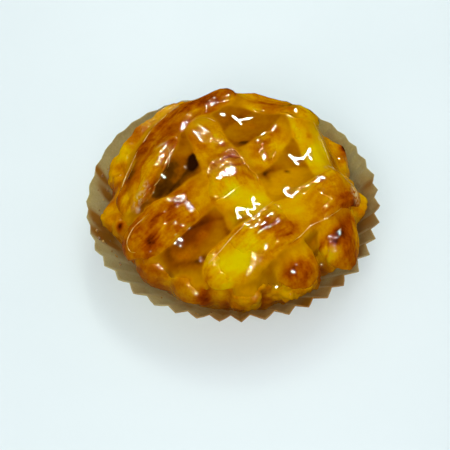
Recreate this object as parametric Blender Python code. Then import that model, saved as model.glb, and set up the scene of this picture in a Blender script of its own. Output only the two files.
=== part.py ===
"""A small apple tart with a loose lattice lid, standing in the pleated paper case that it was baked in.

The frame is +Z up, in metres, with the origin under the middle of the case, on the surface that it stands on.
The tart is made in the order in which a baker makes it: the paper case, the pastry shell pressed into it, the apple
filling, the apple slices on top, and then the strips of dough, each laid on what is already there.
Places in plan are written in millimetres, with +X to the right and +Y to the back.
"""

import math

import bpy
import numpy as np

MM = 0.001

# The paper case
CASE_RIM_RADIUS = 55.0 * MM
CASE_BASE_RADIUS = 38.5 * MM
CASE_HEIGHT = 20.0 * MM
PAPER = 0.45 * MM  # thicker than real paper, so that it is a solid
PLEATS = 43
PLEAT_DEPTH = 1.05 * MM  # of a fold at the rim, either side of the mean radius
PLEAT_SPREAD = (0.85, 1.15)  # from fold to fold, as shares of that depth
FLATTENED = 0.4  # how much of the depth is lost or gained round the case
DEEPEST_AT = math.radians(-50)
POINTS_PER_PLEAT = 4
WALL_HEIGHTS = (0.0, 0.3, 0.65, 1.0)

# The pastry shell, whose middle lies a little off the case's
PASTRY_X = 1.5 * MM
PASTRY_Y = -0.5 * MM
SHELL_POINTS = 80  # round the shell
SHELL_GAP = 0.4 * MM  # to the paper
BACK_RISE = 3.0 * MM  # how much higher the rim is at the very back than at its sides and front

# The filling
FILLING_POINTS = 48
FILLING_TOP = 31.0 * MM
FILLING_FALL = 4.6 * MM  # from its middle to its edge
FILLING_EDGE = 36.2 * MM

# A piece that is laid on the others
LAY_GAP = 0.45 * MM  # under it
STATION = 2.7 * MM  # between its cross-sections
EDGE_SHARE = 0.3  # of its thickness, where its two faces meet
LEAST_EDGE = 0.9 * MM
LEAST_MIDDLE = 2.2 * MM
OVER_THE_TOP = (1.0, 0.84, 0.5, 0.0, -0.5, -0.84, -1.0)  # shares of the half width, from left to right
UNDERNEATH = (-0.8, -0.4, 0.0, 0.4, 0.8)

# The height map that it is laid on
CELL = 0.5 * MM
MAP_HALF = 62.0 * MM
SLOPE_ROUND_THE_TART = 0.9  # fall for each metre outwards from the rim


def finish(name, colour, roughness):
    """A plain material from an sRGB hex colour."""
    material = bpy.data.materials.new(name)
    material.use_nodes = True
    shader = material.node_tree.nodes["Principled BSDF"]
    parts = [int(colour[k : k + 2], 16) / 255 for k in (1, 3, 5)]
    linear = [c / 12.92 if c <= 0.04045 else ((c + 0.055) / 1.055) ** 2.4 for c in parts]
    shader.inputs["Base Color"].default_value = (*linear, 1)
    shader.inputs["Roughness"].default_value = roughness
    shader.inputs["Metallic"].default_value = 0
    return material


def closed_skin(rings, first_tip, last_tip):
    """A closed surface over successive rings of points, with a fan from a tip at each end.

    Seen from the first tip's side, the rings run clockwise.
    """
    count = len(rings[0])
    points = np.vstack([*rings, first_tip, last_tip])
    first, last = len(points) - 2, len(points) - 1
    faces = []
    for k in range(count):
        after = (k + 1) % count
        for ring in range(len(rings) - 1):
            low, high = ring * count, (ring + 1) * count
            faces.append((low + k, low + after, high + after, high + k))
        faces.append((first, after, k))
        faces.append((last, high + k, high + after))
    return points, faces


def make_object(name, skin, colour, roughness):
    points, faces = skin
    mesh = bpy.data.meshes.new(name)
    mesh.from_pydata(points.tolist(), [], faces)
    mesh.materials.append(finish(f"{name}_finish", colour, roughness))
    mesh.shade_smooth()
    mesh.set_sharp_from_angle(angle=math.radians(50))
    bpy.context.collection.objects.link(bpy.data.objects.new(name, mesh))


def swelling(degrees, middle, width):
    """1 at the middle, falling smoothly to 0 at the width either side."""
    away = (degrees - middle + 180) % 360 - 180
    return np.clip(1 - (away / width) ** 2, 0, None) ** 2


def lumps(x, y, seed, wavelength, height):
    """Soft unevenness: a few crossing waves in random directions."""
    draw = np.random.default_rng(seed)
    waves = 6
    total = 0
    for _ in range(waves):
        turn, phase = draw.uniform(0, 2 * math.pi, 2)
        length = wavelength * draw.uniform(0.7, 1.4)
        total = total + np.sin((x * math.cos(turn) + y * math.sin(turn)) * 2 * math.pi / length + phase)
    return total * height * 2 / waves


# ---------------------------------------------------------------- the paper case


def case_radius(height, fold):
    """The outside of the wall at a share of the case's height, for a fold from -1 in a valley to 1 on a ridge."""
    mean = CASE_BASE_RADIUS + (CASE_RIM_RADIUS - CASE_BASE_RADIUS) * height**0.93
    return mean + PLEAT_DEPTH * height**0.8 * fold


def paper_through():
    """The wall's thickness, measured level."""
    slant = math.atan2(CASE_RIM_RADIUS - CASE_BASE_RADIUS, CASE_HEIGHT)
    return PAPER / math.cos(slant)


def pleats():
    """The angle and the fold of each point round the case. No two pleats are quite alike."""
    draw = np.random.default_rng(11)
    widths = draw.uniform(0.86, 1.14, PLEATS)
    depths = draw.uniform(*PLEAT_SPREAD, PLEATS)
    ends = np.cumsum(widths) / widths.sum() * 2 * math.pi
    starts = ends - widths / widths.sum() * 2 * math.pi
    angles, folds = [], []
    for start, end, depth in zip(starts, ends, depths):
        depth = depth * (1 + FLATTENED * math.cos(start - DEEPEST_AT))
        for k in range(POINTS_PER_PLEAT):
            share = k / POINTS_PER_PLEAT
            angles.append(start + (end - start) * share)
            folds.append(depth * (1 - 4 * abs(share - 0.5)))
    return np.array(angles), np.array(folds)


def paper_case():
    angles, folds = pleats()
    rim_wave = 0.7 * MM * np.sin(3 * angles + 0.6) + 0.5 * MM * np.sin(5 * angles + 2.0)
    outside, inside = [], []
    for height in WALL_HEIGHTS:
        radius = case_radius(height, folds)
        z = height * CASE_HEIGHT + rim_wave * height**2
        outside.append(np.column_stack([radius * np.cos(angles), radius * np.sin(angles), z]))
        radius = radius - paper_through()
        z = np.maximum(z, PAPER)
        inside.append(np.column_stack([radius * np.cos(angles), radius * np.sin(angles), z]))
    skin = closed_skin(outside + inside[::-1], (0, 0, 0), (0, 0, PAPER))
    make_object("paper_case", skin, "#8c825b", 0.8)


# ---------------------------------------------------------------- the pastry shell and the filling

# Radius and height, from the middle of the underside up the outside, over the rim and down into the pocket
SHELL_OUTSIDE = [(36.4, 0.85), (38.4, 2.2), (41.2, 5.4), (43.8, 9.6), (45.6, 13.6), (46.3, 17.2), (45.8, 20.6)]
SHELL_RIM = [(43.8, 23.0), (40.8, 24.0), (38.3, 23.3)]
SHELL_POCKET = [(37.2, 21.0), (36.6, 15.0), (34.8, 9.0), (30.0, 5.6)]
FILLING_SIDE = [(29.4, 6.1), (34.1, 9.5), (36.0, 15.2), (36.6, 21.2)]

# Where the rim swelled or broke in the oven: angle, width in degrees, millimetres outwards, millimetres upwards
RIM_FORMS = [
    (-110, 14, 2.4, 1.6),
    (-86, 13, 2.6, 1.2),
    (-133, 14, 2.4, 1.8),
    (-60, 14, 3.6, 1.0),
    (-33, 13, 3.6, 0.8),
    (-4, 9, 6.0, -1.6),
    (30, 14, 2.4, -0.6),
    (58, 20, 1.6, 2.0),
    (90, 20, 1.4, 1.4),
    (123, 17, 4.4, 4.4),
    (143, 15, 4.6, 4.4),
    (157, 10, 4.0, 2.6),
    (167, 9, 4.8, -2.0),
    (-169, 11, 5.8, -1.6),
    (-46, 6, -1.8, -1.4),
    (-98, 5, -1.8, -1.4),
    (-121, 5, -1.7, -1.2),
    (-73, 5, -1.6, -1.0),
    (-151, 6, -1.2, -0.8),
    (14, 6, -1.2, -1.0),
]


def within_case(x, y, z):
    """Draws places in to the shell's gap from the paper, as the dough took the form of the case."""
    deepest = -PLEAT_SPREAD[1] * (1 + FLATTENED)
    valley = case_radius(np.clip(z / CASE_HEIGHT - 0.06, 0, 1), deepest)
    limit = valley - paper_through() - SHELL_GAP
    share = np.minimum(1, limit / np.hypot(x, y))
    return x * share, y * share


def shell_ring(radius, height):
    """One ring of the shell, swollen and broken as the rim is."""
    degrees = np.arange(SHELL_POINTS) * 360 / SHELL_POINTS
    out = sum(swelling(degrees, middle, width) * outwards for middle, width, outwards, _ in RIM_FORMS) * MM
    up = sum(swelling(degrees, middle, width) * upwards for middle, width, _, upwards in RIM_FORMS) * MM
    angles = np.radians(degrees)
    out_here = np.clip((height - 10) / 5, 0, 1) * np.clip((radius - 40) / 3, 0, 1)
    near_top = np.clip((height - 18) / 5, 0, 1)
    up_here = np.clip((radius - 36) / 8, 0, 1) * near_top
    r = radius * MM + out * out_here
    z = height * MM + up * up_here + BACK_RISE * np.clip(np.sin(angles), 0, None) * near_top
    x, y = within_case(PASTRY_X + r * np.cos(angles), PASTRY_Y + r * np.sin(angles), z)
    return np.column_stack([x, y, z])


def pastry_shell():
    profile = SHELL_OUTSIDE + SHELL_RIM + SHELL_POCKET
    rings = [shell_ring(radius, height) for radius, height in profile]
    under, floor = profile[0][1] * MM, profile[-1][1] * MM
    skin = closed_skin(rings, (PASTRY_X, PASTRY_Y, under), (PASTRY_X, PASTRY_Y, floor))
    make_object("pastry_shell", skin, "#a8680a", 0.4)
    return skin


def filling_top(x, y):
    radius = np.hypot(x - PASTRY_X, y - PASTRY_Y)
    dome = FILLING_TOP - FILLING_FALL * (radius / FILLING_EDGE) ** 2.2
    dome += BACK_RISE * (y - PASTRY_Y) * radius / (SHELL_RIM[0][0] * MM) ** 2
    return dome + lumps(x, y, seed=5, wavelength=17 * MM, height=0.5 * MM)


def apple_filling():
    angles = np.arange(FILLING_POINTS) * 2 * math.pi / FILLING_POINTS
    rings = []
    for radius, height in FILLING_SIDE:
        x = PASTRY_X + radius * MM * np.cos(angles)
        y = PASTRY_Y + radius * MM * np.sin(angles)
        rings.append(np.column_stack([x, y, np.full_like(x, height * MM)]))
    for share in (0.99, 0.86, 0.69, 0.5, 0.28):
        x = PASTRY_X + share * FILLING_EDGE * np.cos(angles)
        y = PASTRY_Y + share * FILLING_EDGE * np.sin(angles)
        rings.append(np.column_stack([x, y, filling_top(x, y)]))
    top = filling_top(PASTRY_X, PASTRY_Y)
    skin = closed_skin(rings, (PASTRY_X, PASTRY_Y, rings[0][0, 2]), (PASTRY_X, PASTRY_Y, top))
    make_object("apple_filling", skin, "#935300", 0.2)
    return skin


# ---------------------------------------------------------------- pieces laid on the others


class HeightMap:
    """The height of the tart so far, on a square grid of cells seen from above."""

    def __init__(self, z):
        self.z = z

    @classmethod
    def of_slope_round_the_tart(cls):
        """Before anything is laid: a slope that carries the rim on outwards, for the pieces that hang over it."""
        side = np.arange(-MAP_HALF, MAP_HALF, CELL)
        x, y = np.meshgrid(side, side, indexing="ij")
        beyond = np.hypot(x - PASTRY_X, y - PASTRY_Y) - SHELL_RIM[0][0] * MM
        return cls(SHELL_RIM[0][1] * MM - SLOPE_ROUND_THE_TART * np.clip(beyond, 0, None))

    def add(self, skin):
        """Raises the map to a piece's faces, each sampled at even steps."""
        points, faces = skin
        steps = 11
        shares = [(a, b, steps - a - b) for a in range(steps + 1) for b in range(steps + 1 - a)]
        triangles = [(f[0], f[k], f[k + 1]) for f in faces for k in range(1, len(f) - 1)]
        corners = points[np.array(triangles)]
        spots = np.einsum("sk,tkd->tsd", np.array(shares) / steps, corners).reshape(-1, 3)
        cells = np.round((spots[:, :2] + MAP_HALF) / CELL).astype(int)
        cells = cells.clip(0, len(self.z) - 1)
        np.maximum.at(self.z, (cells[:, 0], cells[:, 1]), spots[:, 2])

    def widened(self, reach):
        """The highest place within reach of each cell."""
        cells = round(reach / CELL)
        highest = self.z.copy()
        for i in range(-cells, cells + 1):
            for j in range(-cells, cells + 1):
                if math.hypot(i, j) <= cells + 0.5:
                    highest = np.maximum(highest, np.roll(self.z, (i, j), axis=(0, 1)))
        return HeightMap(highest)

    def softened(self, reach):
        """The mean height about each cell, by three passes of a box."""
        width = max(3, round(reach / CELL) | 1)
        z = self.z
        for _ in range(3):
            for axis in (0, 1):
                shifts = range(-(width // 2), width // 2 + 1)
                z = sum(np.roll(z, shift, axis=axis) for shift in shifts) / width
        return HeightMap(z)

    def at(self, x, y):
        """The height at any place, weighed between the four cells about it."""
        u = np.clip((x + MAP_HALF) / CELL, 0, len(self.z) - 1.001)
        v = np.clip((y + MAP_HALF) / CELL, 0, len(self.z) - 1.001)
        i, j = u.astype(int), v.astype(int)
        a, b = u - i, v - j
        near = self.z[i, j] * (1 - b) + self.z[i, j + 1] * b
        far = self.z[i + 1, j] * (1 - b) + self.z[i + 1, j + 1] * b
        return near * (1 - a) + far * a


def smooth_rows(rows):
    """A smooth curve through rows of x, y, half width and thickness in millimetres, as dense rows in metres."""
    rows = np.array(rows, float) * MM
    rows = np.vstack([2 * rows[0] - rows[1], rows, 2 * rows[-1] - rows[-2]])
    t = np.arange(24)[:, None] / 24
    spans = [
        b + 0.5 * t * (c - a + t * (2 * a - 5 * b + 4 * c - d + t * (3 * b - a - 3 * c + d)))
        for a, b, c, d in zip(rows, rows[1:], rows[2:], rows[3:])
    ]
    return np.vstack([*spans, rows[-2]])


def stations(rows):
    """Rows of x, y, half width and thickness at each cross-section, with how far along it is and the whole length.

    They come closer together at the two ends, which are round.
    """
    dense = smooth_rows(rows)
    run = np.concatenate([[0], np.cumsum(np.hypot(*np.diff(dense[:, :2], axis=0).T))])
    length = run[-1]
    start, end = dense[0, 2], length - dense[-1, 2]  # where the round ends begin
    turn_in = np.array([0.07, 0.3, 0.62])
    middle = np.linspace(start, end, max(2, round((end - start) / STATION)) + 1)
    along = np.concatenate([start * turn_in, middle, length - (length - end) * turn_in[::-1]])
    return np.column_stack([np.interp(along, run, column) for column in dense.T]), along, length


def laid_piece(name, rows, height_map, colour, roughness, seed):
    """A soft flat piece along rows of x, y, half width and thickness, lying on all that the height map holds."""
    close = height_map.widened(0.7 * MM).z
    eased = height_map.widened(1.5 * MM).softened(1.5 * MM).z
    support = HeightMap(np.maximum(close, eased))
    broad = support.softened(4 * MM)

    table, along, length = stations(rows)
    heading = np.gradient(table[:, :2], along, axis=0)
    heading /= np.hypot(*heading.T)[:, None]
    left = np.column_stack([-heading[:, 1], heading[:, 0]])

    from_end = np.minimum(along / table[0, 2], (length - along) / table[-1, 2]).clip(0, 1)
    half_width = table[:, 2] * np.sqrt(1 - (1 - from_end) ** 2)
    half_width = half_width * (1 + lumps(along, 0 * along, seed, wavelength=14 * MM, height=0.07))
    roundness = np.sqrt(1 - (1 - from_end) ** 2.6)

    rings = []
    for centre, side, half, thick, ended in zip(table[:, :2], left, half_width, table[:, 3], roundness):
        across = np.array(OVER_THE_TOP)
        x, y = (centre + np.outer(across * half, side)).T
        under = support.at(x, y) + LAY_GAP
        bulge = np.sqrt(1 - np.abs(across) ** 2.6) * ended
        puff = 1 + lumps(x, y, seed + 50, wavelength=11 * MM, height=0.12)
        level = broad.at(x, y) + LAY_GAP + thick * (EDGE_SHARE + (1 - EDGE_SHARE) * bulge * puff)
        top = np.maximum(level, under + LEAST_EDGE + (LEAST_MIDDLE - LEAST_EDGE) * bulge)
        over = np.column_stack([x, y, top])
        x, y = (centre + np.outer(np.array(UNDERNEATH) * half, side)).T
        below = np.column_stack([x, y, support.at(x, y) + LAY_GAP])
        rings.append(np.vstack([over, below]))

    tips = []
    for centre, direction in ((table[0, :2], -heading[0]), (table[-1, :2], heading[-1])):
        x, y = centre + direction * 0.4 * MM
        tips.append((x, y, support.at(x, y) + LAY_GAP + LEAST_EDGE / 2))
    skin = closed_skin(rings, *tips)
    make_object(name, skin, colour, roughness)
    height_map.add(skin)


# Rows of x, y, half width and thickness along the middle of each piece, in the order in which they are laid.
APPLE_SLICES = {
    "apple_slice_left": [(-31, -12, 3.4, 3.0), (-25.5, -3, 6.4, 4.0), (-21, 6, 6.6, 4.0), (-18, 15, 4.4, 3.4)],
    "apple_slice_right": [(11, -9, 4.6, 3.2), (19, -5, 7.0, 4.2), (26, -3, 6.6, 4.0), (32, -2, 4.0, 3.0)],
    "apple_slice_back": [(-3, 17, 3.8, 3.2), (5, 20, 6.6, 4.0), (12, 25, 6.2, 3.8), (18, 30, 4.2, 3.0)],
    "apple_slice_front": [(-22, -32, 3.0, 2.6), (-15, -31, 5.2, 3.4), (-8, -28, 5.2, 3.8), (-1, -24, 3.8, 3.0)],
}
STRIPS = {
    "strip_middle": (
        "#c89608",
        [
            (-38.5, -28.5, 8.4, 4.6),
            (-27, -22.5, 9.6, 5.6),
            (-16.5, -15.5, 8.2, 5.2),
            (-4, -5.5, 7.8, 3.8),
            (8, 6.2, 6.8, 4.2),
            (15.5, 14.6, 5.2, 4.4),
            (21.6, 22, 4.8, 3.6),
            (27.5, 28.5, 4.6, 2.6),
        ],
    ),
    "strip_right": (
        "#c99a04",
        [
            (24, 33.5, 5.4, 2.6),
            (26.4, 26, 6.2, 3.4),
            (28.8, 18.5, 6.2, 4.4),
            (31.6, 9.5, 5.5, 4.4),
            (34.3, 0.5, 5.2, 3.6),
            (37.4, -9, 5.8, 3.4),
            (39.6, -17.6, 7.0, 4.2),
            (38.6, -25, 7.6, 4.8),
            (34.8, -32.8, 6.8, 4.6),
        ],
    ),
    "strip_centre": (
        "#c49000",
        [
            (-16.5, 34, 5.6, 3.2),
            (-12.8, 24, 6.4, 3.8),
            (-8.4, 12.2, 7.0, 4.8),
            (-4, 2, 8.2, 3.8),
            (0.6, -8.4, 9.6, 4.0),
            (5, -17.6, 10.2, 3.6),
            (10.5, -26, 8.6, 3.0),
            (18.5, -33.6, 8.2, 4.4),
            (29.6, -41, 8.4, 5.0),
        ],
    ),
    "strip_back": (
        "#a86008",
        [
            (-11, 39, 5.2, 3.2),
            (2, 39.4, 8.2, 4.6),
            (13, 37.0, 8.6, 4.8),
            (23.5, 32.2, 7.8, 3.8),
            (32.5, 26.4, 5.4, 3.2),
        ],
    ),
    "strip_left": (
        "#ac6c04",
        [
            (-38.4, -12.6, 5.4, 3.2),
            (-35.8, -5.6, 6.6, 4.8),
            (-31.4, 4.8, 8.2, 5.4),
            (-27.8, 14, 7.6, 5.2),
            (-23.8, 23.6, 6.8, 4.8),
            (-17.2, 30.6, 6.4, 4.6),
            (-9, 35.4, 6.4, 4.4),
            (0.5, 41, 5.8, 4.2),
        ],
    ),
    "strip_front": (
        "#caa604",
        [
            (-9.8, -41.2, 5.0, 3.4),
            (-4.2, -39.2, 6.4, 4.6),
            (3.5, -36.2, 8.4, 5.2),
            (11, -29.8, 8.4, 5.2),
            (19.5, -22.6, 8.2, 5.0),
            (28, -15.6, 7.8, 4.6),
            (36, -8.4, 7.4, 4.6),
            (45.8, 0, 7.4, 4.8),
        ],
    ),
}


def clear_scene():
    for piece in list(bpy.data.objects):
        bpy.data.objects.remove(piece, do_unlink=True)


def build_tart():
    clear_scene()
    paper_case()
    so_far = HeightMap.of_slope_round_the_tart()
    so_far.add(pastry_shell())
    so_far.add(apple_filling())
    for k, (name, rows) in enumerate(APPLE_SLICES.items()):
        laid_piece(name, rows, so_far, "#a36a08", 0.15, seed=20 + k)
    for k, (name, (colour, rows)) in enumerate(STRIPS.items()):
        laid_piece(name, rows, so_far, colour, 0.2, seed=30 + k)


build_tart()
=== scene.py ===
# %% [markdown]
# # A small glazed apple tart in its baking paper
#
# This lesson dresses a tart that already exists as plain solids: a paper case, a pastry shell, apple
# filling, four apple slices and six strips of dough. The solids have the right size and place, but they
# are smooth and bare. Each step takes one of them, gives it the surface that baking and glazing leave,
# and puts the new piece in its place.

# %% Load the solids
import math

import bmesh
import bpy
import numpy as np
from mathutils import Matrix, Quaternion, Vector, noise


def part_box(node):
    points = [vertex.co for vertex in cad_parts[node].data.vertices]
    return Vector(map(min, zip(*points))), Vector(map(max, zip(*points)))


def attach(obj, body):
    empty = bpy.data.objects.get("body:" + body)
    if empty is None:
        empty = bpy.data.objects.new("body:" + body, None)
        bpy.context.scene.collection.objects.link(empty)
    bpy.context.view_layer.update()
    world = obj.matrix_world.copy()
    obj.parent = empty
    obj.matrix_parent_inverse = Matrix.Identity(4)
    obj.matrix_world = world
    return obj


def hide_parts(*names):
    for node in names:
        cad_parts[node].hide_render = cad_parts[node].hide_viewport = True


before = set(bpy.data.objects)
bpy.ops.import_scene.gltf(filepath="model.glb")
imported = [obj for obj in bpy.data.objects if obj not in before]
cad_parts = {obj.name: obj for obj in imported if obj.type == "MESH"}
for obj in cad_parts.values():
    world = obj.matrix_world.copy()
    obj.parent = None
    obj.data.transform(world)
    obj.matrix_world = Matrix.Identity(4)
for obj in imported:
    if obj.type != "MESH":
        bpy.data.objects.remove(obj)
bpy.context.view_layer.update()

MM = 0.001
scene = bpy.context.scene
print("solids:", ", ".join(sorted(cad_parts)))

# %% [markdown]
# ## Colours and nodes
#
# A colour picked from a picture is an sRGB value, but a shader works with linear light, so one
# function turns the one into the other. A second one adds a shader node with its settings and its links
# in one call, because a material with twenty nodes is hard to read otherwise.


# %% Small helpers for materials and objects
def linear(code):
    """A hex colour, as sRGB, in linear light with full alpha."""
    parts = [int(code[k : k + 2], 16) / 255 for k in (1, 3, 5)]
    return (*(c / 12.92 if c <= 0.04045 else ((c + 0.055) / 1.055) ** 2.4 for c in parts), 1.0)


def add_node(tree, kind, settings=(), inputs=(), stops=()):
    """Adds a node: its settings, its inputs, each a value or another node's output, and a ramp's stops."""
    node = tree.nodes.new("ShaderNode" + kind)
    for name, value in dict(settings).items():
        setattr(node, name, value)
    for name, value in dict(inputs).items():
        if isinstance(value, bpy.types.NodeSocket):
            tree.links.new(value, node.inputs[name])
        else:
            node.inputs[name].default_value = value
    for count, (place, code) in enumerate(stops):
        ramp = node.color_ramp.elements
        stop = ramp[count] if count < 2 else ramp.new(place)
        stop.position = place
        stop.color = linear(code)
    return node


def new_finish(name, inputs):
    """A new material, its node tree and its shader with those inputs."""
    material = bpy.data.materials.new(name)
    material.use_nodes = True
    shader = material.node_tree.nodes["Principled BSDF"]
    for key, value in inputs.items():
        shader.inputs[key].default_value = value
    return material, material.node_tree, shader


def add_object(name, data):
    """A new object in the scene."""
    thing = bpy.data.objects.new(name, data)
    scene.collection.objects.link(thing)
    return thing


print("white in linear light:", linear("#ffffff"))

# %% [markdown]
# ## The camera
#
# The tart is seen from in front and above, from an arm's length away. The angle decides how wide the
# case's oval looks, so it is set first. The tart doesn't sit quite in the middle of the picture: the
# camera turns a little to the side for that, which keeps its shift at zero.

# %% Place the camera
PICTURE = 450  # pixels each way
CAMERA_TILT = math.radians(50.5)  # below level
CAMERA_DISTANCE = 0.40  # metres
FOCAL_PIXELS = 1058  # the lens's length, counted in pixels
SENSOR = 36  # millimetres, as Blender counts it
TART_MIDDLE = Vector((0, 0, 20 * MM))
TART_IN_PICTURE = (231.7, 197.5)  # the pixel where that point shows

ahead = Vector((0, math.cos(CAMERA_TILT), -math.sin(CAMERA_TILT)))
sideways = Vector((1, 0, 0))
upwards = sideways.cross(ahead)
camera = add_object("camera", bpy.data.cameras.new("camera"))
camera.data.sensor_width = SENSOR
camera.data.lens = FOCAL_PIXELS / PICTURE * SENSOR
camera.data.clip_start = 10 * MM
camera.location = TART_MIDDLE - ahead * CAMERA_DISTANCE
to_right = (PICTURE / 2 - TART_IN_PICTURE[0]) / FOCAL_PIXELS
to_top = (TART_IN_PICTURE[1] - PICTURE / 2) / FOCAL_PIXELS
gaze = ahead + sideways * to_right + upwards * to_top
camera.rotation_euler = gaze.to_track_quat("-Z", "Y").to_euler()
scene.camera = camera
print("lens in mm:", round(camera.data.lens, 1))

# %% [markdown]
# ## The floor and the light
#
# Food on something pale gets most of its light from all round. The sharp white marks on the glaze are
# something else: small bright lamps and windows, mirrored in every bump. One kind of light can't do both.
# So a pale even world and three large soft lights give the tart its light and aren't mirrored in it, and
# six small lamps are mirrored in it and give it none. One of the soft lights casts no shadow, which
# stands in for the light that a pale room throws back under the case. Each small lamp has a form and a
# roll of its own, so that the marks don't repeat. The colours should come out as they are picked, so the
# picture's view is the plain one.

# %% Make the floor
FLOOR_HALF = 3.0  # metres
MATT = {"Roughness": 0.6, "Specular IOR Level": 0.2}  # so it mirrors neither the tart nor the lamps
floor_finish, tree, shader = new_finish("matt_white_laminate", MATT)
cloud = add_node(tree, "TexNoise", inputs={"Scale": 40, "Detail": 3})
tint = add_node(
    tree, "ValToRGB", inputs={"Fac": cloud.outputs["Fac"]}, stops=[(0.2, "#d5dee2"), (0.8, "#dce4e8")]
)
tree.links.new(tint.outputs["Color"], shader.inputs["Base Color"])

corners = [(-FLOOR_HALF, -FLOOR_HALF, 0), (FLOOR_HALF, -FLOOR_HALF, 0)]
corners += [(FLOOR_HALF, FLOOR_HALF, 0), (-FLOOR_HALF, FLOOR_HALF, 0)]
floor_mesh = bpy.data.meshes.new("floor")
floor_mesh.from_pydata(corners, [], [(0, 1, 2, 3)])
floor_mesh.materials.append(floor_finish)
floor = add_object("floor", floor_mesh)
floor.visible_glossy = False
print("floor:", 2 * FLOOR_HALF, "metres each way")

# %% Surround it with pale light
WORLD_STRENGTH = 0.45
world = bpy.data.worlds.new("studio")
scene.world = world
world.use_nodes = True
background = world.node_tree.nodes["Background"]
background.inputs["Color"].default_value = linear("#e6f6fa")
background.inputs["Strength"].default_value = WORLD_STRENGTH
world.cycles_visibility.glossy = False
scene.view_settings.view_transform = "Standard"
print("world strength:", WORLD_STRENGTH)


# %% Hang the small lamps
def hang(name, place, width, length, watts, colour, roll=0):
    """A flat lamp that faces the tart, rolled by that many degrees."""
    lamp = bpy.data.lights.new(name, "AREA")
    lamp.shape = "RECTANGLE"
    lamp.size = width
    lamp.size_y = length
    lamp.energy = watts
    lamp.color = colour
    holder = add_object(name, lamp)
    holder.location = place
    aim = (TART_MIDDLE - holder.location).to_track_quat("-Z", "Y")
    holder.rotation_euler = (aim @ Quaternion((0, 0, 1), math.radians(roll))).to_euler()
    return holder


LAMP_DISTANCE = 1.5
LAMP_WHITE = (0.82, 1.0, 0.84)  # the pastry below adds the red, and then the marks look white
LAMPS = [  # degrees from straight behind and above level, length and width, degrees of roll, and watts
    (-9, 56, 330 * MM, 24 * MM, 78, 17),
    (0, 50, 250 * MM, 24 * MM, 20, 14),
    (9, 57, 110 * MM, 44 * MM, 55, 10),
    (168, 76, 110 * MM, 40 * MM, 30, 18),
    (200, 62, 60 * MM, 40 * MM, 0, 10),
    (176, 40, 150 * MM, 34 * MM, 60, 24),
]
for number, (bearing, rise, length, width, roll, watts) in enumerate(LAMPS):
    turn, lift = math.radians(bearing), math.radians(rise)
    way = Vector((math.sin(turn) * math.cos(lift), math.cos(turn) * math.cos(lift), math.sin(lift)))
    lamp = hang(f"lamp_{number}", LAMP_DISTANCE * way, width, length, watts, LAMP_WHITE, roll)
    lamp.visible_diffuse = False
print("small lamps:", len(LAMPS))

# %% Hang the soft lights
SOFT_WHITE = (1.0, 0.975, 0.95)
SOFT_LIGHTS = {  # place and size in metres, watts, and whether it casts a shadow
    "light_from_behind": ((0.3, 0.3, 1.22), 0.34, 1.1, True),
    "fill_without_shadow": ((0.2, 0.55, 1.1), 0.5, 7.2, False),
    "light_from_in_front": ((-0.2, -0.95, 0.85), 0.8, 8.4, True),
}
for name, (place, size, watts, casts_shadow) in SOFT_LIGHTS.items():
    light = hang(name, place, size, size, watts, SOFT_WHITE)
    light.data.use_shadow = casts_shadow
    light.visible_glossy = False
print("soft lights:", len(SOFT_LIGHTS))

# %% [markdown]
# ## From a plain solid to a fine one
#
# The solids have a few hundred faces each, too few to hold a wrinkle. A voxel remesh wraps each one in an
# even net of small squares, and a few smoothing passes wear its corners round. The net is about as fine
# as one pixel of the picture: anything finer is left to the materials.


# %% Helpers that read and change a mesh
def even_copy(node, name, mesh_size, smoothing):
    """A new object: the frame's solid as a fine even net, with its corners worn round."""
    piece = add_object(name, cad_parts[node].data.copy())
    net = piece.modifiers.new("net", "REMESH")
    net.mode = "VOXEL"
    net.voxel_size = mesh_size
    worn = piece.modifiers.new("worn", "SMOOTH")
    worn.factor = 0.5
    worn.iterations = smoothing
    graph = bpy.context.evaluated_depsgraph_get()
    mesh = bpy.data.meshes.new_from_object(piece.evaluated_get(graph))
    piece.modifiers.clear()
    piece.data = mesh
    mesh.materials.clear()
    mesh.shade_smooth()
    return piece


def places(piece):
    """Each point of a piece, one row a point."""
    found = np.empty(len(piece.data.vertices) * 3)
    piece.data.vertices.foreach_get("co", found)
    return found.reshape(-1, 3)


def facings(piece):
    """The way that each point faces."""
    found = np.empty(len(piece.data.vertices) * 3)
    piece.data.vertex_normals.foreach_get("vector", found)
    return found.reshape(-1, 3)


def put(piece, points):
    """Moves a piece's points to new places."""
    piece.data.vertices.foreach_set("co", points.ravel())
    piece.data.update()


def puff(piece, height):
    """Moves each point outwards by its own height in mm."""
    put(piece, places(piece) + facings(piece) * (height * MM)[:, None])


def note(piece, name, values):
    """Writes one number for each point, for a material to read."""
    attribute = piece.data.attributes.new(name, "FLOAT", "POINT")
    attribute.data.foreach_set("value", np.clip(values, 0, 1).astype(np.float32))


print("solids to dress:", len(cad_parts))

# %% [markdown]
# ## Uneven by nature
#
# Nothing baked is even. Smooth noise gives soft bumps of one chosen size, and a few sizes on top of each
# other look like dough that has risen. The size can differ along and across a strip, which turns bumps
# into fine ridges.


# %% A field of soft bumps
SEED_STEP = 17.3  # how far apart two seeds lie in the noise
OCTAVES = 2  # each bump has smaller ones of half its size on it


def bumps(points, size, seed):
    """A height from about -1 to 1 at each point. A bump's size is one length, or one for each direction."""
    scaled = points / np.asarray(size) + SEED_STEP * seed
    return np.array([noise.fractal(place, 1.0, 2.0, OCTAVES) for place in scaled.tolist()])


def along_and_across(points):
    """The points in a frame of their own: along the piece, across it and up."""
    flat = points[:, :2] - points[:, :2].mean(0)
    direction = np.linalg.svd(flat[::7], full_matrices=False)[2][0]
    across = np.array([-direction[1], direction[0]])
    return np.column_stack([flat @ direction, flat @ across, points[:, 2]])


print("one bump's height:", round(float(bumps(np.zeros((1, 3)), MM, 1)[0]), 3))
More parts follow.
